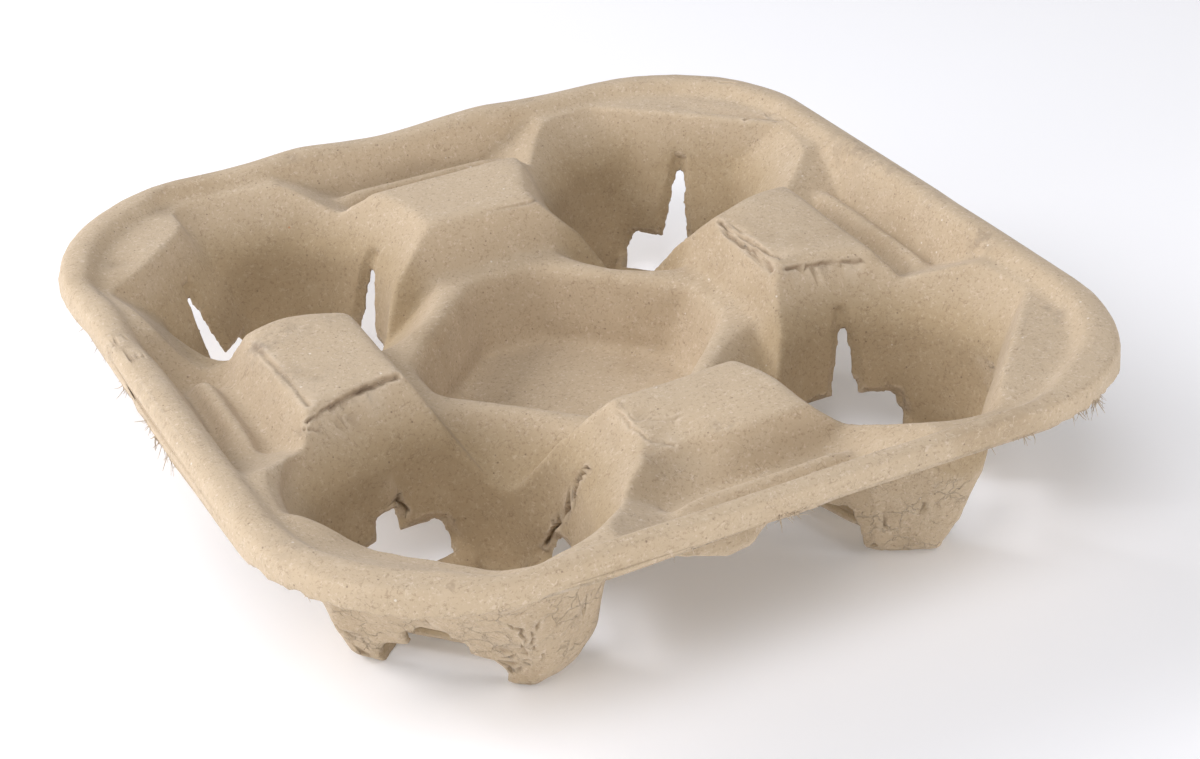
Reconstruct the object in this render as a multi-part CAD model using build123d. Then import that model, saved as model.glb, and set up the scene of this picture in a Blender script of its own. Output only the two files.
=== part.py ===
"""Four-cup carrier, moulded in one piece from wet paper pulp and dried.

One sheet of even wall is drawn down into four flared cup pockets, a centre
recess and a gutter inside the rolled rim.  The sheet is the difference of two
skins: the upper skin, and the same form set inwards by the wall.
Origin: middle of the tray, on the surface its feet stand on.  +Z is up.
"""
import os
from math import cos, radians, sin, tan

from build123d import *

# ---- driving dimensions, mm and degrees -------------------------------------
wall = 2.4                 # thickness of the pulp sheet

rim_half = 106.0           # centre of the tray to the outer edge of the rim
rim_corner = 46.0          # corner radius of the rim in plan
rim_top = 50.0             # crest of the rim above the surface below the feet
rim_roll = 6.0             # radius of the rolled outer edge
rim_inner_roll = 4.0       # radius over the crest to the inside
lip_bottom = rim_top - 6.5 # lower edge of the turned-down lip
crest_width = 0.7 * wall   # level strip along the crest; some is left on the under side
rim_inner_lean = 27.0      # inner side of the rim, degrees from upright

deck = rim_top - 3.3       # level of the corner shelves and the block tops
shelf_edge = 106.0         # centre to a corner shelf's inner edge, on the diagonal
shelf_lean = 20.0          # flat face below a corner shelf, degrees from upright

gutter_floor = deck - 8.7  # floor of the gutter between blocks and rim
block_outer = 74.5         # centre to the outer edge of a block's top
block_outer_lean = 34.0
block_inner = 49.6         # centre to the inner edge of a block's top
block_inner_lean = 26.0
bead_place = 87.5          # centre to the raised bead along the gutter
bead_height = 2.0
bead_base = 3.6            # half the bead's width at the gutter floor
bead_lean = 45.0
gutter_reach = 21.0        # half the gutter's length along a side
gutter_end_lean = 64.0

saddle = 0.68 * rim_top    # level of the ground between the pockets and the recess
recess_floor = 0.3 * rim_top
recess_axis_lean = 20.0
recess_diagonal_lean = 14.0

pocket_place = 54.5        # pocket axis from the tray's two middle planes
pocket_floor = wall        # the feet stand on the sheet's underside
pocket_radius = 25.2       # pocket radius at the slots' shoulders
pocket_lean = 9.5          # lower, cup-holding cone
flare_radius = pocket_radius + 14.8    # pocket radius where its flare meets the deck
flare_lean = 42.0
flare_knee = 12.0          # radius between cone and flare
foot_corner = 2.0          # radius round the pocket's floor

# the ridge between a pocket and the recess keeps its width
recess_diagonal_half = pocket_place * 2 ** 0.5 - pocket_radius - 23.57
recess_axis_half = 1.13 * recess_diagonal_half # floor of the recess towards a block
recess_corner = 0.318 * recess_diagonal_half   # radius up the recess's corners
recess_brim = recess_diagonal_half + (saddle - recess_floor) * tan(radians(recess_diagonal_lean))

chute_lean = 47.0          # slope from that ridge down into a pocket
chute_radius = pocket_place * 2 ** 0.5 - recess_brim - 1.7 * wall  # at the saddle, from a pocket's axis

slots_per_pocket = 3
slot_top = 0.732 * rim_top # upper end of a slot's stem
slot_shoulder = 0.31 * rim_top  # where the stem opens into the foot of the slot
slot_base = 0.16 * rim_top # lower edge of the slot, on the ramp
stem_top_width = 3.4
stem_base_width = 9.5
slot_foot_top_width = 27.0
slot_foot_base_width = 30.5
slot_depth = 0.6 * wall    # the slot's outline is pressed this deep, then pierced
slot_margin = 0.8 * wall   # the pierced hole stands this far inside the outline
ramp_start = 12.0          # pocket axis to the foot of the ramp
ramp_end = 19.0            # pocket axis to the crest of the ramp
ramp_width = 31.0

floor_blend = 3.0          # radius along the shelf and recess floors
saddle_roll = 1.25 * wall  # radius over the recess's brim
block_roll = 1.25 * wall   # radius over the inner edge of a block's top
lip_margin = 0.5           # the trim below the lip stops this far inside it

clear_above = rim_top + 20.0   # tools run up to here, past the crest
clear_below = -20.0            # and down to here, past the feet


def lean_shift(lean, skin):
    """Outward shift of a leaning side at its floor, when both move by `skin`."""
    return skin * (1.0 - sin(radians(lean))) / cos(radians(lean))


def hollow(half, corner, floor, lean, skin, turn=0.0):
    """A square tub that widens upwards, with its floor and sides moved out by skin."""
    side = 2.0 * (half + lean_shift(lean, skin))
    outline = Rectangle(side, side)
    if corner:
        outline = RectangleRounded(side, side, corner + lean_shift(lean, skin))
    height = clear_above - floor + skin
    tub = extrude(Pos(0, 0, floor - skin) * outline, amount=height, taper=-lean)
    return Rot(0, 0, turn) * tub


def mound(half, floor, lean, height, skin):
    """A square bank that narrows upwards, with its top and sides moved in by skin."""
    side = 2.0 * (half - lean_shift(lean, skin))
    return extrude(Pos(0, 0, floor - skin) * Rectangle(side, side), amount=height, taper=lean)


def level_edges(shape, level):
    """Edges of a shape that lie wholly at one height."""
    return shape.edges().filter_by_position(Axis.Z, level - 0.01, level + 0.01)


def reach(edge):
    """Farthest an edge gets from the tray's two middle planes."""
    box = edge.bounding_box()
    return max(box.max.X, box.max.Y, -box.min.X, -box.min.Y)


def inside_rim(level):
    """Half the width inside the rim at one level of its inner side."""
    crest_half = rim_half - rim_roll - crest_width
    return crest_half - (rim_top - level) * tan(radians(rim_inner_lean))


def rim_and_shelves(skin):
    """Solid block under the rim, cut down to the deck inside the crest."""
    half = rim_half - skin
    crest = rim_top - skin
    outline = RectangleRounded(2 * half, 2 * half, rim_corner - skin)
    block = extrude(Pos(0, 0, clear_below) * outline, amount=crest - clear_below)
    block = fillet(level_edges(block, crest), rim_roll - skin)
    dish = hollow(inside_rim(deck), rim_corner - rim_roll, deck, rim_inner_lean, skin)
    dish = fillet(level_edges(dish, deck - skin), floor_blend + skin)
    block -= dish
    outer_reach = rim_half - rim_roll
    inner_crest = [edge for edge in level_edges(block, crest) if reach(edge) < outer_reach - 0.05]
    return fillet(inner_crest, rim_inner_roll - skin)


def gutter(skin):
    """Channel between the blocks and the rim, stopped at the corner shelves."""
    outer = inside_rim(gutter_floor)
    channel = hollow(outer, rim_corner - rim_roll, gutter_floor, rim_inner_lean, skin)
    rise = deck - gutter_floor
    shelf_half = shelf_edge - rise * tan(radians(shelf_lean))
    channel &= hollow(shelf_half, floor_blend, gutter_floor, shelf_lean, skin, turn=45)
    island_half = block_outer + rise * tan(radians(block_outer_lean))
    channel -= mound(island_half, gutter_floor, block_outer_lean, rise, skin)
    bead = mound(bead_place + bead_base, gutter_floor, bead_lean, bead_height, skin)
    bead -= hollow(bead_place - bead_base, wall, gutter_floor, bead_lean, -skin)
    channel -= bead
    wide = 2 * (gutter_reach + lean_shift(gutter_end_lean, skin))
    strip = Pos(0, 0, gutter_floor - skin) * Rectangle(4 * rim_half, wide)
    height = clear_above - gutter_floor + skin
    band = extrude(strip, amount=height, taper=-gutter_end_lean)
    return channel & (band + Rot(0, 0, 90) * band)


def centre(skin):
    """Ground between the blocks, with the recess sunk in it.

    The recess has four sides towards the pockets and four lobes towards the blocks.
    """
    lobes = hollow(recess_axis_half, 0.0, recess_floor, recess_axis_lean, skin)
    sides = hollow(recess_diagonal_half, 0.0, recess_floor, recess_diagonal_lean, skin, turn=45)
    star = lobes & sides
    floor = recess_floor - skin
    uprights = [
        edge for edge in star.edges()
        if edge.bounding_box().min.Z < floor + 1 < edge.bounding_box().max.Z
    ]
    star = fillet(uprights, recess_corner + skin)
    star = fillet(level_edges(star, floor), floor_blend + skin)
    ground_half = block_inner - (deck - saddle) * tan(radians(block_inner_lean))
    ground = hollow(ground_half, floor_blend, saddle, block_inner_lean, skin)
    outline = [edge.center() for edge in level_edges(ground, saddle - skin)]
    sunk = ground + star
    brim = [
        edge for edge in level_edges(sunk, saddle - skin)
        if min((edge.center() - middle).length for middle in outline) > 0.1
    ]
    return fillet(brim, saddle_roll - skin)


def pocket(skin):
    """One cup pocket about its own axis: floor, cup-holding cone and flare."""
    cone = tan(radians(pocket_lean))
    flare = tan(radians(flare_lean))
    cone_foot = pocket_radius - slot_shoulder * cone + skin / cos(radians(pocket_lean))
    flare_foot = flare_radius - deck * flare + skin / cos(radians(flare_lean))
    bottom = pocket_floor - skin
    knee = (cone_foot - flare_foot) / (flare - cone)
    outline = Polyline(
        (0, bottom),
        (cone_foot + bottom * cone, bottom),
        (cone_foot + knee * cone, knee),
        (flare_foot + clear_above * flare, clear_above),
        (0, clear_above),
        close=True,
    )
    section = make_face(outline)
    foot = section.vertices().sort_by(Axis.X)[2]
    section = fillet(foot, foot_corner + skin)
    knee_corner = section.vertices().filter_by_position(Axis.Y, knee - 0.01, knee + 0.01)
    section = fillet(knee_corner, flare_knee - skin)
    return revolve(Plane.XZ * section, Axis.Z)


def chute(skin):
    """Slope down into each pocket between two blocks, bounded by their inner faces."""
    slope = tan(radians(chute_lean))
    foot = chute_radius - saddle * slope + skin / cos(radians(chute_lean))
    bottom = -foot / slope
    outline = Polyline((0, bottom), (foot + clear_above * slope, clear_above), (0, clear_above), close=True)
    cone = revolve(Plane.XZ * make_face(outline), Axis.Z)
    inner_half = block_inner - (deck - recess_floor) * tan(radians(block_inner_lean))
    between = hollow(inner_half, 0.0, recess_floor, block_inner_lean, skin)
    cones = [Rot(0, 0, 90 * turn) * Pos(pocket_place, pocket_place, 0) * cone for turn in range(4)]
    ground_top = Pos(0, 0, saddle - skin - clear_above / 2) * Box(4 * rim_half, 4 * rim_half, clear_above)
    return [(cone & between) & ground_top for cone in cones]


def slot_places():
    """Each pocket's axis turned to each of its slots.

    The first slot faces the corner, and moves in with the flat face it is cut through.
    """
    places = []
    for turn in range(4):
        for k in range(slots_per_pocket):
            axis = Rot(0, 0, 90 * turn) * Pos(pocket_place, pocket_place, 0)
            setback = flat_setback() if k == 0 else 0.0
            angle = 45.0 + k * 360.0 / slots_per_pocket
            places.append(axis * Rot(0, 0, angle) * Pos(-setback, 0, 0))
    return places


def flat_setback():
    """How far the flat face below a shelf stands inside the cone, at the slots' base."""
    cone = pocket_radius - (slot_shoulder - slot_base) * tan(radians(pocket_lean))
    flat = shelf_edge - (deck - slot_base) * tan(radians(shelf_lean))
    return cone - (flat - pocket_place * 2 ** 0.5)


def ramp(skin):
    """Raised part of the pocket floor under a slot, which also parts the feet."""
    outline = Polyline(
        (ramp_start, pocket_floor - skin),
        (ramp_end, slot_base - skin),
        (2 * pocket_radius, slot_base - skin),
        (2 * pocket_radius, clear_below),
        (ramp_start, clear_below),
        close=True,
    )
    section = Plane.XZ * make_face(outline)
    return extrude(section, amount=ramp_width / 2 - skin, both=True)


def slot_outline():
    """A slot seen along its direction: a narrow stem on a wide foot."""
    outline = Polyline(
        (-stem_top_width / 2, slot_top),
        (-stem_base_width / 2, slot_shoulder),
        (-slot_foot_top_width / 2, slot_shoulder),
        (-slot_foot_base_width / 2, slot_base),
        (slot_foot_base_width / 2, slot_base),
        (slot_foot_top_width / 2, slot_shoulder),
        (stem_base_width / 2, slot_shoulder),
        (stem_top_width / 2, slot_top),
        close=True,
    )
    return make_face(outline)


def slot_hole():
    """The pierced part of a slot, and the arch below it.

    Beyond the ramp's crest the hole runs down past the feet, which opens an arch.
    """
    pierced = offset(slot_outline(), amount=-slot_margin, kind=Kind.INTERSECTION)
    hole = Pos(ramp_start, 0, 0) * extrude(Plane.YZ * pierced, amount=flare_radius - ramp_start)
    arch_top = slot_base + slot_margin + 0.1
    arch_height = arch_top - clear_below
    arch_width = slot_foot_base_width - 2 * slot_margin
    mouth = Pos(0, arch_top - arch_height / 2) * Rectangle(arch_width, arch_height)
    arch = Pos(ramp_end, 0, 0) * extrude(Plane.YZ * mouth, amount=flare_radius - ramp_end)
    return hole + arch


def cups(skin):
    """The four cup pockets in place, each with its flat face and its ramps."""
    shelf_foot = shelf_edge - (deck - clear_below) * tan(radians(shelf_lean))
    inside_shelf = hollow(shelf_foot, 1.0, clear_below, shelf_lean, skin, turn=45)
    ramps = [place * ramp(skin) for place in slot_places()]
    pockets = []
    for turn in range(4):
        cup = Rot(0, 0, 90 * turn) * Pos(pocket_place, pocket_place, 0) * pocket(skin)
        pockets.append((cup & inside_shelf) - ramps)
    return pockets


def form(skin):
    """Everything below one skin: the upper one at 0, the under side at the wall."""
    solid = rim_and_shelves(skin)
    solid -= gutter(skin)
    solid -= centre(skin)
    for cutter in cups(skin) + chute(skin):
        solid -= cutter
    block_brims = [edge for edge in level_edges(solid, deck - skin) if reach(edge) < block_outer - 10]
    return fillet(block_brims, block_roll - skin)


if __name__ == "__main__":
    tray = form(0.0) - form(wall)

    half_lip = rim_half - wall - lip_margin
    waste = Rectangle(4 * rim_half, 4 * rim_half)
    waste -= RectangleRounded(2 * half_lip, 2 * half_lip, rim_corner - wall - lip_margin)
    tray -= extrude(Pos(0, 0, 2 * clear_below) * waste, amount=lip_bottom - 2 * clear_below)

    press = Pos(ramp_start, 0, 0) * extrude(Plane.YZ * slot_outline(), amount=flare_radius - ramp_start)
    presses = [place * press for place in slot_places()]
    for index, cup in enumerate(cups(slot_depth)):
        for tool in presses[index * slots_per_pocket:(index + 1) * slots_per_pocket]:
            tray -= cup & tool
    hole = slot_hole()
    for place in slot_places():
        tray -= place * hole

    os.makedirs("parts", exist_ok=True)
    export_step(tray, "parts/tray.step")
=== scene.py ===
"""Looks of a moulded-pulp cup carrier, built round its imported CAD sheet."""
import math
import random

import bmesh
import bpy
import numpy as np
from mathutils import Matrix, Vector, noise
from mathutils.bvhtree import BVHTree
from mathutils.kdtree import KDTree


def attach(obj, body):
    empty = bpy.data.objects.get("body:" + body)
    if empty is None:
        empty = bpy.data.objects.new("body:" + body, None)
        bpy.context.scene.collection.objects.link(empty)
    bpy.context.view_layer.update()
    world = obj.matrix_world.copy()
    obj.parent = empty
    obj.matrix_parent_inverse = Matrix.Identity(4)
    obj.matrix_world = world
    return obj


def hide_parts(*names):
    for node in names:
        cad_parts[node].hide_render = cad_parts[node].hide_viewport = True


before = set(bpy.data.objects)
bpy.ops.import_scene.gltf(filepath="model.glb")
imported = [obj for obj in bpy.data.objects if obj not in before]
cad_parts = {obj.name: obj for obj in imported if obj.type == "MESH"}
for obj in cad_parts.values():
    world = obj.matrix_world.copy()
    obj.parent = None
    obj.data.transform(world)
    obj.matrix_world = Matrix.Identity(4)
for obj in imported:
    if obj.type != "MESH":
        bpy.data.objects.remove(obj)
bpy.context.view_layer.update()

# ---- The sheet as it left the mould ------------------------------------------
# One sheet of wet paper pulp, sucked down on a wire mould and dried.  The CAD
# sheet is copied and given soft edges, because wet pulp never fills a sharp corner.
# Sizes are in millimetres.
MM = 0.001
pocket_place = 54.5  # a pocket's axis from the middle, along x and along y
deck = 46.7  # height of the pockets' brims
sheet_wall = 2.4
cell = 0.8  # the sheet is rebuilt from cells of this size, a third of its wall
web_wall = 1.04 * sheet_wall  # a web stands a touch proud, so that it joins the sheet
diagonal = 0.5 ** 0.5
shelf_reach, shelf_lean = 28.925, 20.0  # the flat wall towards a corner, at the deck
cup_radius, cup_level, cup_lean = 25.2, 15.5, 9.5  # the round wall low down
brim_radius, brim_lean = 40.0, 42.0  # the flare it ends in, at the deck

sheet_form = bmesh.new()
sheet_form.from_mesh(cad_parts["tray"].data)
bmesh.ops.remove_doubles(sheet_form, verts=sheet_form.verts, dist=0.001 * MM)


def wall_reach(up, flat):
    """How far the inner skin stands from a pocket's axis at one height."""
    if flat:
        return shelf_reach - (deck - up) * math.tan(math.radians(shelf_lean))
    cup = cup_radius + (up - cup_level) * math.tan(math.radians(cup_lean))
    brim = brim_radius - (deck - up) * math.tan(math.radians(brim_lean))
    return max(cup, brim)


def mesh_of(form, name):
    """A new mesh with what a bmesh holds."""
    mesh = bpy.data.meshes.new(name)
    form.to_mesh(mesh)
    return mesh


def put(name, data):
    """A new object in the scene."""
    item = bpy.data.objects.new(name, data)
    bpy.context.scene.collection.objects.link(item)
    return item


def close_slot(outline, direction, flat=False):
    """Web of pulp across part of a slot of the near left pocket.

    The outline's rows are (left, right, up); direction is the way the slot faces.
    """
    web = bmesh.new()
    c, s = math.cos(math.radians(direction)), math.sin(math.radians(direction))
    rings = []
    for left, right, up in outline:
        ring = []
        for across, depth in ((left, 0.0), (right, 0.0), (right, web_wall), (left, web_wall)):
            reach = wall_reach(up, flat) + depth
            if not flat:
                reach = math.sqrt(reach ** 2 - across ** 2)
            spot = (-pocket_place + reach * c - across * s, -pocket_place + reach * s + across * c, up)
            ring.append(web.verts.new(Vector(spot) * MM))
        rings.append(ring)
    for low, high in zip(rings, rings[1:]):
        for i in range(4):
            web.faces.new((low[i], low[(i + 1) % 4], high[(i + 1) % 4], high[i]))
    web.faces.new(rings[0])
    web.faces.new(rings[-1])
    bmesh.ops.recalc_face_normals(web, faces=web.faces)
    sheet_form.from_mesh(mesh_of(web, "web"))


# The slot towards the corner closed up but for a low arch; the two beside it only in part.
close_slot([(-6.0, 6.0, 16.2), (-6.5, 6.5, 18.2), (-4.6, 4.6, 26.0), (-2.6, 2.6, 38.0)], 225.0, flat=True)
close_slot([(-16.4, -6.0, 8.0), (-17.2, -5.6, 17.8)], 225.0, flat=True)
close_slot([(6.0, 16.4, 8.0), (5.6, 17.2, 17.8)], 225.0, flat=True)
close_slot([(-16.6, -14.0, 3.0), (-16.6, -7.5, 12.0)], 225.0, flat=True)
close_slot([(14.0, 16.6, 3.0), (7.5, 16.6, 12.0)], 225.0, flat=True)
close_slot([(-5.0, 5.0, 20.5), (-4.0, 4.0, 26.0), (-3.4, 3.4, 31.0), (-2.8, 2.8, 37.6)], 105.0)
close_slot([(9.0, 15.0, 8.4), (8.0, 14.6, 17.0)], 105.0)
close_slot([(-5.2, 5.2, 14.5), (-4.6, 4.6, 22.0), (-3.4, 3.4, 31.0), (-2.8, 2.8, 37.6)], 345.0)

sheet = put("pulp_sheet", mesh_of(sheet_form, "pulp_sheet"))
remesh = sheet.modifiers.new("remesh", "REMESH")
remesh.mode, remesh.voxel_size = "VOXEL", cell * MM


def bake_modifiers(piece):
    """Replaces a piece's mesh by what its modifiers make of it."""
    view = bpy.context.evaluated_depsgraph_get()
    mesh = bpy.data.meshes.new_from_object(piece.evaluated_get(view))
    piece.modifiers.clear()
    piece.data = mesh


def read_points(mesh):
    """A mesh's points in millimetres."""
    flat = np.empty(len(mesh.vertices) * 3, np.float32)
    mesh.vertices.foreach_get("co", flat)
    return flat.reshape(-1, 3).astype(float) / MM


def write_points(mesh, points):
    """Puts points in millimetres back into a mesh."""
    mesh.vertices.foreach_set("co", (points * MM).astype(np.float32).ravel())
    mesh.update()


def read_edges(mesh):
    """Point numbers at the two ends of every edge."""
    flat = np.empty(len(mesh.edges) * 2, np.int32)
    mesh.edges.foreach_get("vertices", flat)
    return flat.reshape(-1, 2)


def read_normals(mesh):
    """The way out of the sheet at every point."""
    flat = np.empty(len(mesh.vertices) * 3, np.float32)
    mesh.vertex_normals.foreach_get("vector", flat)
    return flat.reshape(-1, 3).astype(float)


def soften(values, edges, rounds, weight):
    """Moves every value towards the mean of its neighbours' values, round after round."""
    a, b = edges.T
    count = np.bincount(edges.ravel(), minlength=len(values))
    for _ in range(rounds):
        total = np.stack([
            np.bincount(a, values[b, i], len(values)) + np.bincount(b, values[a, i], len(values))
            for i in range(values.shape[1])
        ], axis=1)
        values = values + weight[:, None] * (total / count[:, None] - values)
    return values


def ease(value, low, high):
    """0 below low, 1 above high, and a smooth step between them."""
    t = np.clip((value - low) / (high - low), 0.0, 1.0)
    return t * t * (3.0 - 2.0 * t)


def in_pocket(points, corner):
    """Points seen from a pocket's axis: towards the corner, across, up."""
    sx, sy = corner
    x, y = points[:, 0] - sx * pocket_place, points[:, 1] - sy * pocket_place
    return (sx * x + sy * y) * diagonal, (sx * y - sy * x) * diagonal, points[:, 2]


bake_modifiers(sheet)
points, edges = read_points(sheet.data), read_edges(sheet.data)
points = soften(points, edges, 4, np.full(len(points), 0.5))
from_middle = np.abs(points[:, :2]).max(1)
recess_brim = ease(-from_middle, -47, -44) * ease(points[:, 2], 27, 31)
block_edges = 0.8 * ease(-from_middle, -78, -74) * ease(points[:, 2], 42, 45)
rounder = np.maximum(recess_brim, block_edges)
points = soften(points, edges, 12, 0.5 * rounder)

# ---- How the sheet dried and was used ----------------------------------------
# The sheet shrinks and warps as it dries, and the corner that was squeezed most
# has sagged and spread.  Each tug moves a patch of the sheet and fades out round it.
near_left = (-1, -1)
out, across, up = in_pocket(points, near_left)
spread = 0.17 * ease(out, -10, 6) * ease(up, -6, 12) * ease(-up, -45, -36)
lean_out = 1.8 * ease(out, 8, 16) * ease(up, 8, 26) * ease(-up, -44, -34)
across_axis, out_axis = np.array((diagonal, -diagonal, 0.0)), np.array((-diagonal, -diagonal, 0.0))
points += (across * spread)[:, None] * across_axis + lean_out[:, None] * out_axis
sag = ease(-out, -45, -29) * ease(out, 14, 27) * ease(up, 22, 40)
sag *= ease(across, -24, -6) * ease(-across, -32, -16)
points[:, 2] -= 5.6 * sag

rim_half, corner_radius = 106.0, 46.0


def from_edge(points):
    """How far inside the rim's outer edge every point is, and the way out in plan."""
    beyond = np.maximum(np.abs(points[:, :2]) - (rim_half - corner_radius), 0.0)
    outward = np.hypot(beyond[:, 0], beyond[:, 1])
    return corner_radius - outward, np.sign(points[:, :2]) * beyond / np.maximum(outward, 1e-6)[:, None]


# The outer edge of the rim dried squarer than it was moulded, most of all along the front.
inset, outward_axis = from_edge(points)
front = ease(-points[:, 1], 80, 100)
narrower = 3.0 * front * ease(inset, 2.2, 8.0) * ease(-inset, -26, -13)
narrower *= ease(-np.abs(points[:, 0]), -78, -60)
narrower *= ease(points[:, 2], 30, 38)
squarer = (0.55 + 0.85 * front) * np.exp(-((inset - 1.8) / 2.2) ** 2 - ((points[:, 2] - 48.3) / 2.4) ** 2)
points[:, :2] += (squarer * 0.8 + narrower)[:, None] * outward_axis
points[:, 2] += squarer * 0.7

# The bead along the gutter stands up more where it dried freely.
along = np.abs(points[:, :2]).min(1)
bead_place = 87.5
bead = np.exp(-((np.abs(points[:, :2]).max(1) - bead_place) / 2.0) ** 2) * ease(-along, -26, -18)
points[:, 2] += 1.3 * bead * ease(points[:, 2], 30, 34) * ease(-points[:, 2], -46, -43)

# The near right foot bulges out below its shelf.
out, across, up = in_pocket(points, (1, -1))
bulge = 4.0 * ease(out, 6, 19) * ease(-up, -38, -20)
points += bulge[:, None] * np.array((diagonal, -diagonal, 0.0))

tugs = [
    # centre, reach across, reach up, move, all in millimetres
    ((-58, 93, 46), 12, 14, (-9, 2, -1)),
    ((-95, 57, 46), 9, 12, (-1, 3, -1)),
    ((-12, -74, 46), 13, 9, (3, 5, -3.0)),
    ((-62, 17, 46), 15, 9, (0, 4.0, 2.0)),
    ((18, -61, 46), 14, 9, (3.5, 0, 2.2)),
    ((64, 17, 46), 14, 9, (0, 3.5, 1.6)),
    ((18, 66, 46), 12, 9, (3.5, 0, 1.4)),
    ((-86, 29, 43), 12, 14, (0, -4, -8.5)),
    ((-30, 101, 48), 12, 9, (0, 0.5, 1.1)),
    ((-4, 101, 48), 14, 9, (0, -0.6, -0.9)),
    ((26, 101, 48), 12, 9, (0, 0.4, 0.8)),
    ((101, -30, 48), 16, 9, (-0.6, 0, 0.7)),
]
for place, reach_across, reach_up, move in tugs:
    offset = points - np.array(place, float)
    fade = np.exp(-(offset[:, 0] ** 2 + offset[:, 1] ** 2) / (2 * (reach_across / 1.6) ** 2))
    fade *= np.exp(-offset[:, 2] ** 2 / (2 * (reach_up / 1.6) ** 2))
    points += fade[:, None] * np.array(move, float)

write_points(sheet.data, points)
triangles_kept = 150000
thin = sheet.modifiers.new("thin", "DECIMATE")
thin.ratio = triangles_kept / sum(len(p.vertices) - 2 for p in sheet.data.polygons)
thin.use_collapse_triangulate = True
bake_modifiers(sheet)
points, edges = read_points(sheet.data), read_edges(sheet.data)


noise.seed_set(11)  # the noise starts from the same place in every run


def noise_field(points, size, seed):
    """Smooth random vectors, at most about one long, that change over the given size."""
    shift = Vector((seed * 17.3, seed * 5.9, seed * 11.7))
    return np.array([noise.noise_vector(Vector(p) / size + shift) for p in points])


# A broad warp, shallow lumps all over, and underneath coarse lumps with furrows
# between them, where the pulp clotted.
points += 0.55 * noise_field(points, 48.0, 1) * ease(points[:, 2], 3, 25)[:, None]
normals = read_normals(sheet.data)
under_side = soften(ease(-normals[:, 2:3], -0.06, 0.12), edges, 3, np.full(len(points), 0.5))[:, 0]
fine = noise_field(points, 3.4, 3)
lumps = noise_field(points, 10.0, 2)[:, 0] * 0.14 + fine[:, 0] * (0.09 + 0.34 * under_side)
coarse = noise_field(points, 6.0, 4)
furrows = np.exp(-(np.abs(coarse[:, 1]) / 0.05) ** 2) * ease(coarse[:, 2], -0.1, 0.15)
lumps -= 0.28 * furrows * under_side * ease(-points[:, 2], -36, -24)
points += normals * lumps[:, None]

# The lower edge of the lip was never trimmed: it is ragged where the pulp ran thin.
inset, outward_axis = from_edge(points)
lip = ease(-points[:, 2], -46.5, -44.0) * ease(points[:, 2], 42.0, 42.8) * ease(-inset, -4.5, -2.6)
ragged = np.abs(fine[:, 1]) * 1.6 + np.maximum(coarse[:, 0], 0.0) * 1.4
points[:, 2] += lip * (ragged - 0.7)
points[:, :2] += (lip * coarse[:, 2] * 0.5)[:, None] * outward_axis
write_points(sheet.data, points)

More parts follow.
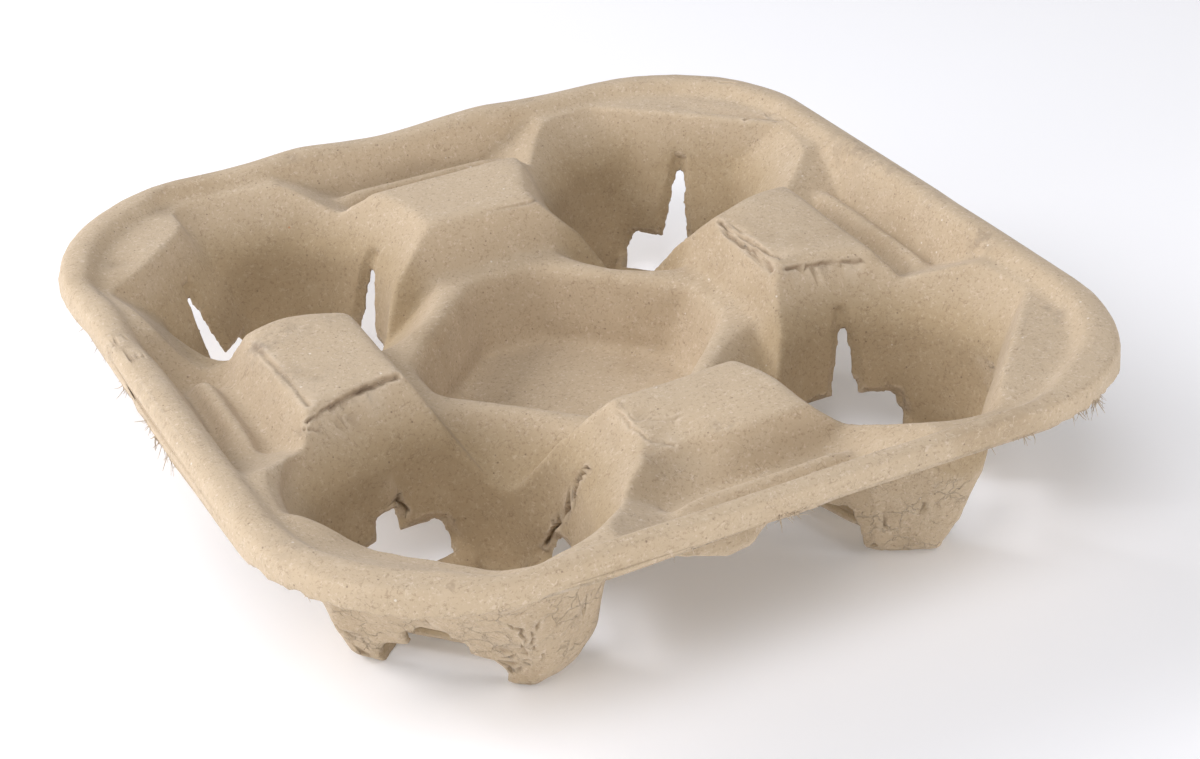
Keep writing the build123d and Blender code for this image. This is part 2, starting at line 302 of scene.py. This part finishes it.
# ---- Cracks, tears and dents ---------------------------------------------------
# Dry pulp does not fold: it cracks where it is squeezed and its top layer peels.
# Each line lies on the sheet; the mesh is made finer along it, then opened.
cracks = [
    # width, depth, wander, points along the line
    (0.35, 0.9, 0.6, [(-105.6, 19.6, 46.4), (-104.3, 18.2, 48.3), (-102.8, 18.2, 49.4), (-99, 17, 50)]),
    (0.3, 0.7, 0.6, [(-103.9, 27.5, 48.9), (-102.4, 28.4, 49.6), (-99.5, 28.8, 50)]),
    (0.6, 0.6, 0.5, [(-105.6, 5.5, 46.5), (-104.6, 5.0, 48.0), (-101.6, 5.0, 49.7), (-98.5, 3.0, 49.8)]),
    (0.4, 1.2, 0.6, [(-105.9, -29.7, 44.3), (-105.8, -26.7, 45.3), (-105.2, -22.8, 46.5),
                     (-102.9, -24.1, 49.0), (-100.2, -23.6, 49.7)]),
    (0.4, 1.1, 0.7, [(-105.6, 18.5, 46.3), (-105.5, 11, 45.6), (-105.5, 4.2, 46.3), (-105.2, -7.7, 45.6),
                     (-105.2, -22.6, 46.3)]),
    (0.3, 0.8, 0.8, [(-105.2, -12, 46.5), (-104.5, -15, 47.8), (-102.5, -16, 49.3)]),
    (0.7, 1.9, 0.5, [(-69.0, -19.3, 45.0), (-64.0, -17.2, 45.2), (-59.9, -16.0, 45.3), (-55.5, -15.2, 45.2),
                     (-51.3, -14.8, 45.0)]),
    (0.4, 1.0, 0.5, [(-75.5, -21.6, 44.6), (-71.0, -19.8, 45.2), (-67.0, -18.2, 45.4)]),
    (0.4, 0.8, 0.6, [(-76.9, -22.3, 42.6), (-73.4, -23.7, 43.2), (-69.4, -22.4, 42.3), (-65, -20.6, 42.4)]),
    (0.7, 0.5, 0.4, [(-74.6, 13.0, 46.3), (-73.9, 1.8, 46.4), (-73.4, -10.2, 46.5), (-73.6, -17.9, 46.4)]),
    (0.4, 0.6, 0.4, [(-2.1, 3.0, 14.9), (2.7, 3.7, 14.8), (7.4, 2.9, 14.9)]),
    (0.45, 2.0, 0.3, [(-25.4, -56.1, 35.7), (-26.9, -54.9, 28.8), (-28.3, -52.1, 22.1),
                      (-30.3, -45.5, 10.5)]),
    (0.5, 1.9, 0.25, [(-63.9, -22.6, 37.0), (-62.4, -25.2, 32.0), (-60.6, -26.9, 27.0), (-58.6, -28.2, 22.0),
                      (-56.6, -28.9, 18.5)]),
    (0.35, 1.0, 0.6, [(19.7, -99.5, 49.9), (19.7, -101.6, 49.5), (19.8, -104.1, 48.4), (20.3, -105.8, 46.2),
                      (20.8, -106, 44.2)]),
    (0.6, 0.5, 0.5, [(35.3, -100.4, 49.6), (35.3, -102.4, 48.8), (37.3, -105.2, 46.2)]),
    (0.35, 0.9, 0.7, [(-41.5, -105.0, 44.0), (-36, -105.4, 45.4), (-30, -105.6, 46.4), (-24, -105.7, 45.6)]),
    (0.4, 1.0, 0.7, [(-78.8, -51.7, 2.3), (-78.4, -54.6, 7.0), (-80.7, -52.3, 9.0), (-84.0, -50.0, 12.5)]),
    (0.4, 1.0, 0.7, [(-55.9, -77.3, 7.3), (-55.0, -77.5, 5.2), (-52.9, -81.0, 8.0), (-54.8, -84.4, 16.0)]),
    (0.4, 0.9, 0.8, [(-59.6, -79.9, 17.0), (-56.7, -79.1, 12.0), (-55.0, -79.0, 8.0)]),
    (0.35, 0.8, 0.8, [(-57.7, -86.4, 24.4), (-56.2, -86.3, 22.5), (-54.6, -84.9, 18.0)]),
    (0.35, 0.8, 0.8, [(-50.1, -82.2, 12.0), (-53.6, -85.1, 20.7), (-51.0, -86.0, 24.0)]),
    (0.35, 0.8, 0.8, [(-42.0, -84.1, 17.3), (-40.3, -84.2, 20.0), (-37.5, -83.0, 21.0)]),
    (0.3, 0.8, 0.6, [(-72.8, -71.4, 17.2), (-71.3, -73.0, 20.0), (-72.0, -74.5, 24.0)]),
    (0.45, 1.2, 0.9, [(55.0, -81.5, 13.0), (53.9, -80.9, 10.5), (53.1, -80.3, 7.6), (52.5, -79.7, 5.0)]),
    (0.4, 1.0, 1.0, [(60.0, -79.0, 10.0), (62.5, -77.0, 14.0), (61.0, -80.0, 19.0)]),
    (0.4, 0.9, 1.0, [(39.6, -71.6, 6.7), (39.4, -76.3, 8.9), (42.5, -78.0, 12.0)]),
    (0.4, 0.8, 1.0, [(39.1, -68.3, 5.4), (39.5, -69.2, 5.3), (41.0, -74.0, 4.0)]),
    (0.4, 0.9, 1.1, [(45.0, -80.0, 14.0), (49.0, -81.5, 16.5), (54.0, -82.5, 19.0), (58.0, -82.0, 24.0)]),
    (0.5, 0.5, 0.6, [(87.6, 63.3, 46.4), (92.8, 63.3, 47.0), (97.0, 61.0, 49.0)]),
    (0.4, 0.5, 0.4, [(92.0, 83.2, 49.9), (94.8, 80.2, 49.7)]),
    (0.5, 0.5, 0.6, [(88.5, 66.8, 46.8), (93.5, 60.0, 47.2), (97.2, 54.8, 48.2)]),
    (0.4, 0.6, 0.5, [(9.2, 49.1, 45.2), (13.0, 49.6, 45.4), (17.2, 50.4, 45.4)]),
    (0.5, 1.2, 0.6, [(52.0, -15.6, 45.0), (58.5, -16.6, 44.8), (64.0, -17.6, 44.8), (71.0, -20.2, 44.3)]),
    (0.45, 0.4, 0.8, [(-14.9, -54.7, 45.2), (-15.6, -60.4, 45.0), (-13.4, -66.7, 45.0), (-9.4, -69.5, 44.5)]),
    (0.4, 0.3, 0.8, [(-14.0, -58.0, 45.6), (-9.0, -62.0, 45.8), (-4.0, -63.0, 46.3)]),
    (0.6, 0.9, 1.3, [(51.0, 12.0, 45.8), (50.0, 6.0, 45.6), (49.8, 0.0, 45.6), (49.6, -7.0, 45.6),
                     (49.8, -13.6, 45.2)]),
    (0.5, 0.7, 1.2, [(51.6, 9.0, 46.2), (51.4, 2.0, 46.2), (51.2, -5.0, 46.2), (52.0, -12.0, 46.0)]),
]
dents = [
    # place, radius, depth
    ((49.8, 8.3, 45.6), 2.0, 0.9), ((49.9, 5.0, 45.6), 1.5, 0.8), ((49.7, 1.4, 45.5), 1.8, 0.9),
    ((49.4, -2.5, 45.7), 1.4, 0.7), ((49.4, -6.8, 45.8), 1.9, 0.9), ((49.2, -10.4, 45.6), 1.4, 0.7),
    ((49.2, -13.6, 45.3), 1.9, 0.9), ((51.4, 11.5, 45.8), 1.7, 0.7), ((52.2, 3.4, 46.4), 1.3, 0.4),
    ((52.4, -8.6, 46.4), 1.4, 0.4), ((54.0, -13.8, 46.0), 1.6, 0.5),
    ((-17.6, -51.3, 42.6), 1.4, 0.7), ((-18.1, -54.7, 42.0), 1.3, 0.6), ((-18.6, -57.4, 41.5), 1.2, 0.6),
    ((-18.9, -60.2, 41.3), 1.3, 0.6), ((-13.2, -53.4, 46.0), 1.5, 0.6), ((-12.4, -58.6, 46.0), 1.7, 0.6),
    ((1.0, -69.7, 45.8), 1.2, 0.5), ((2.6, -71.9, 45.8), 1.1, 0.5),
    ((-80.0, 78.5, 46.2), 2.2, 0.8), ((-89.6, 71.0, 46.7), 2.4, 0.8), ((-84.5, 74.0, 46.6), 1.8, 0.4),
    ((-36.0, 99.0, 50.0), 2.2, 0.8), ((-31.5, 100.0, 50.0), 1.6, 0.6), ((40.0, 100.5, 50.0), 1.8, 0.7),
    ((-15.5, -70.4, 44.0), 3.0, 0.8), ((91.0, 27.0, 47.5), 2.0, 0.6), ((99.0, -32.6, 49.8), 1.6, 0.5),
]


def surface_of(points, mesh):
    """The sheet's surface as it is now, to find the nearest place on it."""
    return BVHTree.FromPolygons([Vector(p) for p in points], [p.vertices[:] for p in mesh.polygons])


def lay_cracks(mesh):
    """Samples every crack on the mesh's surface: (place, normal, crack, share of its depth)."""
    surface = surface_of(read_points(mesh), mesh)
    samples = []
    for number, (width, depth, wander, path) in enumerate(cracks):
        run = 0.0
        for start, end in zip(path, path[1:]):
            start, end = Vector(start), Vector(end)
            steps = max(2, int((end - start).length / 0.3))
            for step in range(steps):
                run += (end - start).length / steps
                loose = noise.noise_vector(Vector((run / 2.4, number * 7.1, 0.0))) * wander
                loose += noise.noise_vector(Vector((run / 0.9, number * 3.7, 5.0))) * wander * 0.4
                place, facing, _, _ = surface.find_nearest(start.lerp(end, step / steps) + loose)
                share = 0.75 + 0.5 * noise.noise(Vector((run / 3.0, number * 1.3, 9.0)))
                samples.append((place, facing, number, min(1.0, max(0.25, share))))
    return samples


samples = lay_cracks(sheet.data)
laid = KDTree(len(samples))
for index, sample in enumerate(samples):
    laid.insert(sample[0], index)
laid.balance()

finer = bmesh.new()
finer.from_mesh(sheet.data)
for reach in (1.5, 0.9):
    near = {v for v in finer.verts if laid.find(v.co / MM)[2] < reach}
    split = [edge for edge in finer.edges if edge.verts[0] in near and edge.verts[1] in near]
    bmesh.ops.subdivide_edges(finer, edges=split, cuts=1, use_grid_fill=True)
    bmesh.ops.triangulate(finer, faces=[face for face in finer.faces if len(face.verts) > 3])
finer.to_mesh(sheet.data)

# Each crack opens to a groove with a low ridge of torn pulp along both sides.
points = read_points(sheet.data)
painted_groove_shade, torn = np.zeros(len(points)), np.zeros(len(points))
moved = points.copy()
for index, spot in enumerate(points):
    place, nearest, gap = laid.find(Vector(spot))
    if gap > 3.0:
        continue
    _, facing, number, share = samples[nearest]
    width, depth = cracks[number][:2]
    opened = math.exp(-(gap / width) ** 2)
    raised = math.exp(-((gap - 1.7 * width) / width) ** 2)
    moved[index] += np.array(facing) * (share * depth * (0.22 * raised - opened))
    # Painted shade: the bottom of the groove is tinted dark, for the shade that falls in it.
    painted_groove_shade[index] = share * math.exp(-(gap / (width * 0.9)) ** 2) * min(1.0, depth)
    torn[index] = 0.7 * raised * share
points = moved
for place, radius, depth in dents:
    offset = points - np.array(place)
    fade = np.exp(-(offset ** 2).sum(1) / radius ** 2)
    points[:, 2] -= 1.3 * depth * fade
    # Deeper dents get painted shade too, darkest in their hollows.
    painted_groove_shade = np.maximum(painted_groove_shade, 0.25 * fade * (depth > 0.55))
write_points(sheet.data, points)

# ---- Loose fibres ----------------------------------------------------------------
# Where the lip frayed, single fibres and small tufts hang out of the pulp, a few
# millimetres long; others stand up from the torn edges.
frays = [
    # middle of a stretch, half its length along x and y, fibres, longest, hang
    ((-106.0, 15.0, 44.3), (0, 2.5), 10, 3.2, -0.9), ((-105.8, -4.7, 44.2), (0, 3.0), 10, 3.0, -0.8),
    ((-105.9, -12.5, 44.0), (0, 4.0), 16, 3.6, -1.0), ((-106.0, -20.1, 43.8), (0, 3.0), 12, 3.4, -1.0),
    ((-4.6, -106.0, 44.6), (2.2, 0), 12, 3.4, -0.5), ((-0.7, -106.0, 44.6), (1.6, 0), 9, 3.0, -0.2),
    ((55.6, -105.9, 43.8), (3.0, 0), 10, 3.0, -0.6), ((72.5, -104.0, 43.8), (3.0, 1.0), 12, 3.2, -0.8),
    ((78.0, -102.0, 44.2), (2.4, 1.4), 22, 4.4, -0.9), ((-20.0, -106.0, 44.0), (12.0, 0), 10, 1.8, -0.9),
    ((30.0, -106.0, 44.0), (18.0, 0), 14, 1.7, -0.9), ((-106.0, 40.0, 44.0), (0, 16.0), 10, 1.6, -0.9),
    ((-98.0, -80.0, 44.0), (4.0, 4.0), 5, 1.6, -0.8), ((-58.0, -15.6, 45.4), (6.0, 1.8), 8, 1.6, 0.4),
    ((-26.6, -55.0, 29.0), (1.0, 2.0), 6, 1.6, 0.2), ((54.0, -80.8, 9.0), (1.4, 1.0), 6, 1.6, -0.2),
]
rng = random.Random(11)
surface = surface_of(points, sheet.data)
strands = bmesh.new()
for middle, half_run, count, longest, hang in frays:
    for _ in range(count):
        t = rng.uniform(-1, 1)
        wish = Vector(middle) + Vector((half_run[0] * t, half_run[1] * t, rng.uniform(-0.4, 0.4)))
        root, facing, _, _ = surface.find_nearest(wish)
        heading = facing * 0.7 + Vector((rng.gauss(0, 0.5), rng.gauss(0, 0.5), hang + rng.gauss(0, 0.3)))
        heading.normalize()
        side = heading.orthogonal().normalized()
        rise = heading.cross(side)
        bend = Vector((rng.gauss(0, 0.5), rng.gauss(0, 0.5), rng.gauss(0, 0.5)))
        length, thick = longest * rng.uniform(0.3, 1.0), rng.uniform(0.07, 0.16)
        rings = []
        for s in (0.0, 0.35, 0.7, 1.0):
            spine = root + heading * (length * s - 0.5) + bend * (length * 0.5 * s * s)
            wide = thick * (1.0 - 0.75 * s)
            rings.append([
                strands.verts.new((spine + side * math.cos(a) * wide * 1.6 + rise * math.sin(a) * wide) * MM)
                for a in (0.0, 2.1, 4.2)
            ])
        for low, high in zip(rings, rings[1:]):
            for i in range(3):
                strands.faces.new((low[i], low[(i + 1) % 3], high[(i + 1) % 3], high[i]))
        strands.faces.new(rings[0][::-1])
        strands.faces.new(rings[-1])
bmesh.ops.recalc_face_normals(strands, faces=strands.faces)
strand_count = len(strands.verts)
whole = bmesh.new()
whole.from_mesh(sheet.data)
whole.from_mesh(mesh_of(strands, "strands"))
whole.to_mesh(sheet.data)
painted_groove_shade = np.append(painted_groove_shade, np.zeros(strand_count))
torn = np.append(torn, np.full(strand_count, 0.6))
for polygon in sheet.data.polygons:
    polygon.use_smooth = True

# ---- Stains and painted pocket shade -----------------------------------------------
# Grey smudges from handling and packing, on the rim and on the block that was
# handled most, and painted shade inside the pockets, a darker tint for the shade
# that falls in them.  Each is kept with the sheet as a value that the pulp reads.
stains = [
    # place, radius, strength
    ((-66.0, 13.8, 46.6), 5.0, 0.55), ((-74.0, 12.0, 46.3), 3.4, 0.9), ((-73.6, -3.0, 46.4), 3.2, 0.55),
    ((-56.0, 14.8, 46.6), 4.0, 0.35), ((-69.0, -8.0, 46.5), 5.0, 0.3), ((97.5, -33.0, 48.5), 4.0, 0.6),
    ((90.5, -68.0, 46.8), 4.0, 0.7), ((100.9, 12.0, 49.8), 6.0, 0.5), ((100.0, 24.4, 49.8), 5.0, 0.45),
    ((98.0, 34.0, 48.5), 5.0, 0.35), ((100.0, -8.0, 49.5), 5.0, 0.25), ((-103.5, 28.0, 48.5), 4.0, 0.4),
    ((-104.0, 5.0, 48.5), 3.5, 0.4), ((-104.0, -25.0, 48.0), 4.0, 0.45), ((1.5, -71.0, 46.0), 2.2, 0.7),
    ((-58.0, -15.6, 45.0), 2.0, 0.5), ((20.0, -103.0, 48.5), 3.0, 0.35), ((60.0, -101.5, 48.5), 5.0, 0.25),
    ((-30.0, 99.5, 49.5), 3.0, 0.3), ((52.0, -15.0, 45.5), 3.0, 0.4), ((-98.0, -72.0, 49.0), 6.0, 0.25),
]
points = read_points(sheet.data)
stain = np.zeros(len(points))
for place, radius, strength in stains:
    stain = np.maximum(stain, strength * np.exp(-((points - np.array(place)) ** 2).sum(1) / radius ** 2))
normals = read_normals(sheet.data)
under = ease(-normals[:, 2], -0.06, 0.12) * ease(-points[:, 2], -46.0, -42.0)
# Painted shade: a darker tint inside the pockets, from near the bottom up to below the brims, for the shade
# that falls in them; none underneath.
from_axis = np.hypot(np.abs(points[:, 0]) - pocket_place, np.abs(points[:, 1]) - pocket_place)
painted_pocket_shade = ease(-from_axis, -40, -33) * ease(-points[:, 2], -43, -34) * ease(points[:, 2], 1.0, 3.0)
painted_pocket_shade *= 1.0 - under
kept_values = {"painted_pocket_shade": painted_pocket_shade, "crack": painted_groove_shade, "torn": torn, "stain": stain, "under": under}
for name, values in kept_values.items():
    layer = sheet.data.attributes.new(name, "FLOAT", "POINT")
    layer.data.foreach_set("value", values.astype(np.float32))

# ---- Paper pulp ---------------------------------------------------------------
# Unbleached pulp from waste paper: a dull buff felt of short fibres, with darker
# and paler ones, specks of print and bark, and a dry surface that never shines.
pulp = bpy.data.materials.new("pulp")
pulp.use_nodes = True
nodes, links = pulp.node_tree.nodes, pulp.node_tree.links
nodes.clear()


def add(kind, **settings):
    """A new node, with its properties set by name and its sockets by label."""
    node = nodes.new(kind)
    for name, value in settings.items():
        if hasattr(node, name):
            setattr(node, name, value)
        else:
            node.inputs[name.replace("_", " ")].default_value = value
    return node


def wire(source, target, socket, output=0):
    """Joins a node's output to another node's socket."""
    links.new(source.outputs[output], target.inputs[socket])


def felt_noise(size, detail=2.0, rough=0.5, distortion=0.0):
    """Noise whose lumps are about size millimetres across."""
    node = add("ShaderNodeTexNoise", Scale=1.0 / size, Detail=detail, Roughness=rough, Distortion=distortion)
    wire(in_mm, node, "Vector")
    return node


def math_node(operation, a, b=0.0, c=0.0):
    """Sum, product and so on of numbers and nodes."""
    node = add("ShaderNodeMath", operation=operation)
    for i, value in enumerate((a, b, c)):
        if isinstance(value, (int, float)):
            node.inputs[i].default_value = value
        else:
            links.new(value.outputs[0], node.inputs[i])
    return node


def band(source, low, high, to_low=0.0, to_high=1.0):
    """Smoothly maps a value from one range to another."""
    node = add("ShaderNodeMapRange", interpolation_type="SMOOTHSTEP")
    node.inputs[1].default_value, node.inputs[2].default_value = low, high
    node.inputs[3].default_value, node.inputs[4].default_value = to_low, to_high
    links.new(source.outputs[0], node.inputs[0])
    return node


def tint(under, over, amount, blend="MIX"):
    """Lays one colour over another; colours are nodes or linear RGB."""
    node = add("ShaderNodeMix", data_type="RGBA", blend_type=blend)
    for value, socket in ((amount, 0), (under, 6), (over, 7)):
        if isinstance(value, (int, float, tuple)):
            node.inputs[socket].default_value = value if socket == 0 else (*value, 1.0)
        else:
            links.new(value.outputs[2 if value.bl_idname == "ShaderNodeMix" else 0], node.inputs[socket])
    return node


coordinates = add("ShaderNodeTexCoord")
in_mm = add("ShaderNodeMapping")
in_mm.inputs["Scale"].default_value = (1000.0, 1000.0, 1000.0)
wire(coordinates, in_mm, "Vector", 3)

buff, dark_buff, pale_buff = (0.525, 0.408, 0.268), (0.43, 0.322, 0.198), (0.62, 0.508, 0.362)
dark_grain, pale_grain = (0.33, 0.23, 0.14), (0.72, 0.60, 0.46)
dark_fibre, pale_fibre = (0.22, 0.14, 0.08), (0.72, 0.60, 0.45)
bark, paper_scrap, rusty_scrap = (0.15, 0.095, 0.06), (0.80, 0.74, 0.64), (0.55, 0.20, 0.07)
pocket_shadow_tint, torn_pulp = (0.84, 0.81, 0.73), (0.70, 0.58, 0.43)
grey_smudge, groove_shadow = (0.20, 0.155, 0.115), (0.19, 0.125, 0.075)
colour = tint(dark_buff, buff, band(felt_noise(34.0, 3.0), 0.2, 0.5))
colour = tint(colour, pale_buff, band(felt_noise(5.0, 3.0, 0.6), 0.5, 0.8, 0.0, 0.35))
colour = tint(colour, dark_grain, band(felt_noise(0.8, 2.0, 0.7), 0.52, 0.72, 0.0, 0.55))
colour = tint(colour, pale_grain, band(felt_noise(1.1, 2.0, 0.7), 0.55, 0.75, 0.0, 0.45))


def fibres(size, width, seed, cover):
    """Thin wandering lines: where a noise passes its middle value, broken up by another."""
    field = add("ShaderNodeTexNoise", Scale=1.0 / size, Detail=1.0, Distortion=1.2)
    moved = add("ShaderNodeMapping")
    moved.inputs["Location"].default_value = (seed * 31.0, seed * 17.0, seed * 7.0)
    moved.inputs["Rotation"].default_value = (seed * 0.9, seed * 1.7, seed * 0.4)
    wire(in_mm, moved, "Vector")
    wire(moved, field, "Vector")
    line = band(math_node("ABSOLUTE", math_node("SUBTRACT", field, 0.5)), 0.0, width, 1.0, 0.0)
    gaps = add("ShaderNodeTexNoise", Scale=0.7 / size, Detail=2.0)
    wire(moved, gaps, "Vector")
    return math_node("MULTIPLY", line, band(gaps, 1.0 - cover, 1.08 - cover))


pale_fibres = math_node("MAXIMUM", fibres(2.6, 0.022, 1, 0.48), fibres(3.4, 0.016, 2, 0.46))
dark_fibres = math_node("MAXIMUM", fibres(3.0, 0.018, 3, 0.46), fibres(4.6, 0.012, 4, 0.45))
colour = tint(colour, pale_fibre, math_node("MULTIPLY", pale_fibres, 0.40))
colour = tint(colour, dark_fibre, math_node("MULTIPLY", dark_fibres, 0.34))


def specks(size, radius, share):
    """Scattered specks, one in a share of the cells."""
    cells = add("ShaderNodeTexVoronoi", Scale=1.0 / size)
    wire(in_mm, cells, "Vector")
    chosen = add("ShaderNodeSeparateColor")
    links.new(cells.outputs["Color"], chosen.inputs[0])
    spot = band(cells, radius / size, 0.6 * radius / size)
    return math_node("MULTIPLY", spot, band(chosen, 1 - share, 1.001 - share))


colour = tint(colour, bark, math_node("MULTIPLY", specks(1.9, 0.30, 0.16), 0.55))
colour = tint(colour, paper_scrap, math_node("MULTIPLY", specks(3.6, 0.34, 0.12), 0.6))
colour = tint(colour, rusty_scrap, math_node("MULTIPLY", specks(13.0, 0.45, 0.10), 0.6))


def attribute(name):
    """A value kept with the sheet."""
    node = add("ShaderNodeAttribute", attribute_name=name)
    value = add("ShaderNodeMath", operation="ADD")
    value.inputs[1].default_value = 0.0
    links.new(node.outputs["Fac"], value.inputs[0])
    return value


# Painted shade: the insides of the pockets are multiplied darker, for the shade in the hollows.
colour = tint(colour, pocket_shadow_tint, attribute("painted_pocket_shade"), "MULTIPLY")
patchy = band(felt_noise(3.0, 3.0, 0.65), 0.35, 0.65)
colour = tint(colour, torn_pulp, math_node("MULTIPLY", attribute("torn"), 0.55))
smudged = math_node("MULTIPLY", attribute("stain"), patchy)
colour = tint(colour, grey_smudge, math_node("MULTIPLY", smudged, 0.75))
# Painted shade in the crack grooves and dents, kept in the crack value.
colour = tint(colour, groove_shadow, math_node("MULTIPLY", attribute("crack"), 0.72))
under = attribute("under")

shader = add("ShaderNodeBsdfPrincipled", Roughness=0.92)
shader.inputs["Specular IOR Level"].default_value = 0.22
shader.inputs["Sheen Weight"].default_value = 0.12
shader.inputs["Sheen Roughness"].default_value = 0.6
links.new(colour.outputs[2], shader.inputs["Base Color"])
# The felt's own relief; underneath, where no tool pressed it, it is coarse and furrowed.
relief = math_node("MULTIPLY", felt_noise(0.9, 3.0, 0.7), 0.16)
relief = math_node("ADD", relief, math_node("MULTIPLY", felt_noise(2.8, 3.0, 0.6), 0.22))
relief = math_node("ADD", relief, math_node("MULTIPLY", pale_fibres, 0.035))
relief = math_node("SUBTRACT", relief, math_node("MULTIPLY", dark_fibres, 0.045))
felt = add("ShaderNodeTexVoronoi", Scale=0.22, feature="DISTANCE_TO_EDGE")
drift = add("ShaderNodeVectorMath", operation="ADD")
wander = felt_noise(3.0, 3.0, 0.6)
wobble = add("ShaderNodeVectorMath", operation="SCALE")
links.new(wander.outputs["Color"], wobble.inputs[0])
wobble.inputs["Scale"].default_value = 5.0
wire(in_mm, drift, 0)
wire(wobble, drift, 1)
wire(drift, felt, "Vector")
furrow = math_node("MULTIPLY", band(felt, 0.0, 0.045, 1.0, 0.0), band(felt_noise(9.0), 0.42, 0.6))
relief = math_node("SUBTRACT", relief, math_node("MULTIPLY", math_node("MULTIPLY", furrow, under), 0.4))
clots = math_node("MULTIPLY", felt_noise(1.7, 3.0, 0.7), under)
relief = math_node("ADD", relief, math_node("MULTIPLY", clots, 0.55))
bump = add("ShaderNodeBump", Strength=0.8, Distance=0.001)
wire(relief, bump, "Height")
wire(bump, shader, "Normal")
wire(shader, add("ShaderNodeOutputMaterial"), "Surface")
sheet.data.materials.clear()
sheet.data.materials.append(pulp)
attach(sheet, "root")
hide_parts("tray")

# ---- Table, light and camera ----------------------------------------------------
# The carrier stands on a white sweep.  The light comes from large soft boxes, the
# strongest on the far left, with white cards standing low round the front.
floor_form = bmesh.new()
bmesh.ops.create_grid(floor_form, x_segments=1, y_segments=1, size=4.0)
floor = put("floor", mesh_of(floor_form, "floor"))
paint = bpy.data.materials.new("floor_paint")
paint.use_nodes = True
paint_shader = paint.node_tree.nodes["Principled BSDF"]
paint_shader.inputs["Base Color"].default_value = (0.88, 0.875, 0.865, 1.0)
paint_shader.inputs["Roughness"].default_value = 0.9
paint_shader.inputs["Emission Color"].default_value = (1.0, 0.995, 0.985, 1.0)
paint_shader.inputs["Emission Strength"].default_value = 0.13
floor.data.materials.append(paint)


light_distance, light_colour = 1.3, (0.98, 0.99, 1.07)


def area_light(name, azimuth, elevation, power, size):
    """A soft box aimed at the tray; azimuth runs from the front round by the right."""
    turn, rise = math.radians(azimuth), math.radians(elevation)
    lamp = bpy.data.lights.new(name, "AREA")
    lamp.energy, lamp.size, lamp.color = power, size, light_colour
    holder = put(name, lamp)
    way = Vector((math.sin(turn) * math.cos(rise), -math.cos(turn) * math.cos(rise), math.sin(rise)))
    spot = way * light_distance
    holder.location = spot
    holder.rotation_euler = (Vector((0.0, 0.0, 0.02)) - spot).to_track_quat("-Z", "Y").to_euler()


area_light("window", 228, 32, 12.4, 0.7)
area_light("window_side", 270, 30, 2.6, 0.7)
area_light("window_top", 315, 60, 6.4, 0.7)
area_light("far_wall", 180, 36, 1.9, 0.7)
area_light("right_top", 45, 50, 3.4, 0.7)
area_light("left_card", 270, 8, 2.0, 0.3)
area_light("front_card", 315, 8, 3.6, 0.3)
area_light("right_card", 45, 8, 6.0, 0.3)
world = bpy.data.worlds.new("pale_room")
bpy.context.scene.world = world
world.use_nodes = True
room_light = world.node_tree.nodes["Background"]
room_light.inputs["Color"].default_value = (1.0, 0.96, 0.90, 1.0)
room_light.inputs["Strength"].default_value = 0.10
bpy.context.scene.view_settings.view_transform = "Standard"

# The camera looks down from the front left, tipped a little.
azimuth, elevation, roll = (math.radians(a) for a in (-26.84, 30.48, -2.01))
distance, aim = 0.5585, Vector((0.01099, 0.00592, 0.01534))
back = Vector((
    math.sin(azimuth) * math.cos(elevation),
    -math.cos(azimuth) * math.cos(elevation),
    math.sin(elevation),
))
level = Vector((0, 0, 1)).cross(back).normalized()
upright = back.cross(level)
right = level * math.cos(roll) + upright * math.sin(roll)
top = upright * math.cos(roll) - level * math.sin(roll)
stand = aim + back * distance
camera = put("camera", bpy.data.cameras.new("camera"))
camera.matrix_world = Matrix((
    (right.x, top.x, back.x, stand.x),
    (right.y, top.y, back.y, stand.y),
    (right.z, top.z, back.z, stand.z),
    (0, 0, 0, 1),
))
camera.data.sensor_width, camera.data.lens = 36.0, 66.7
bpy.context.scene.camera = camera
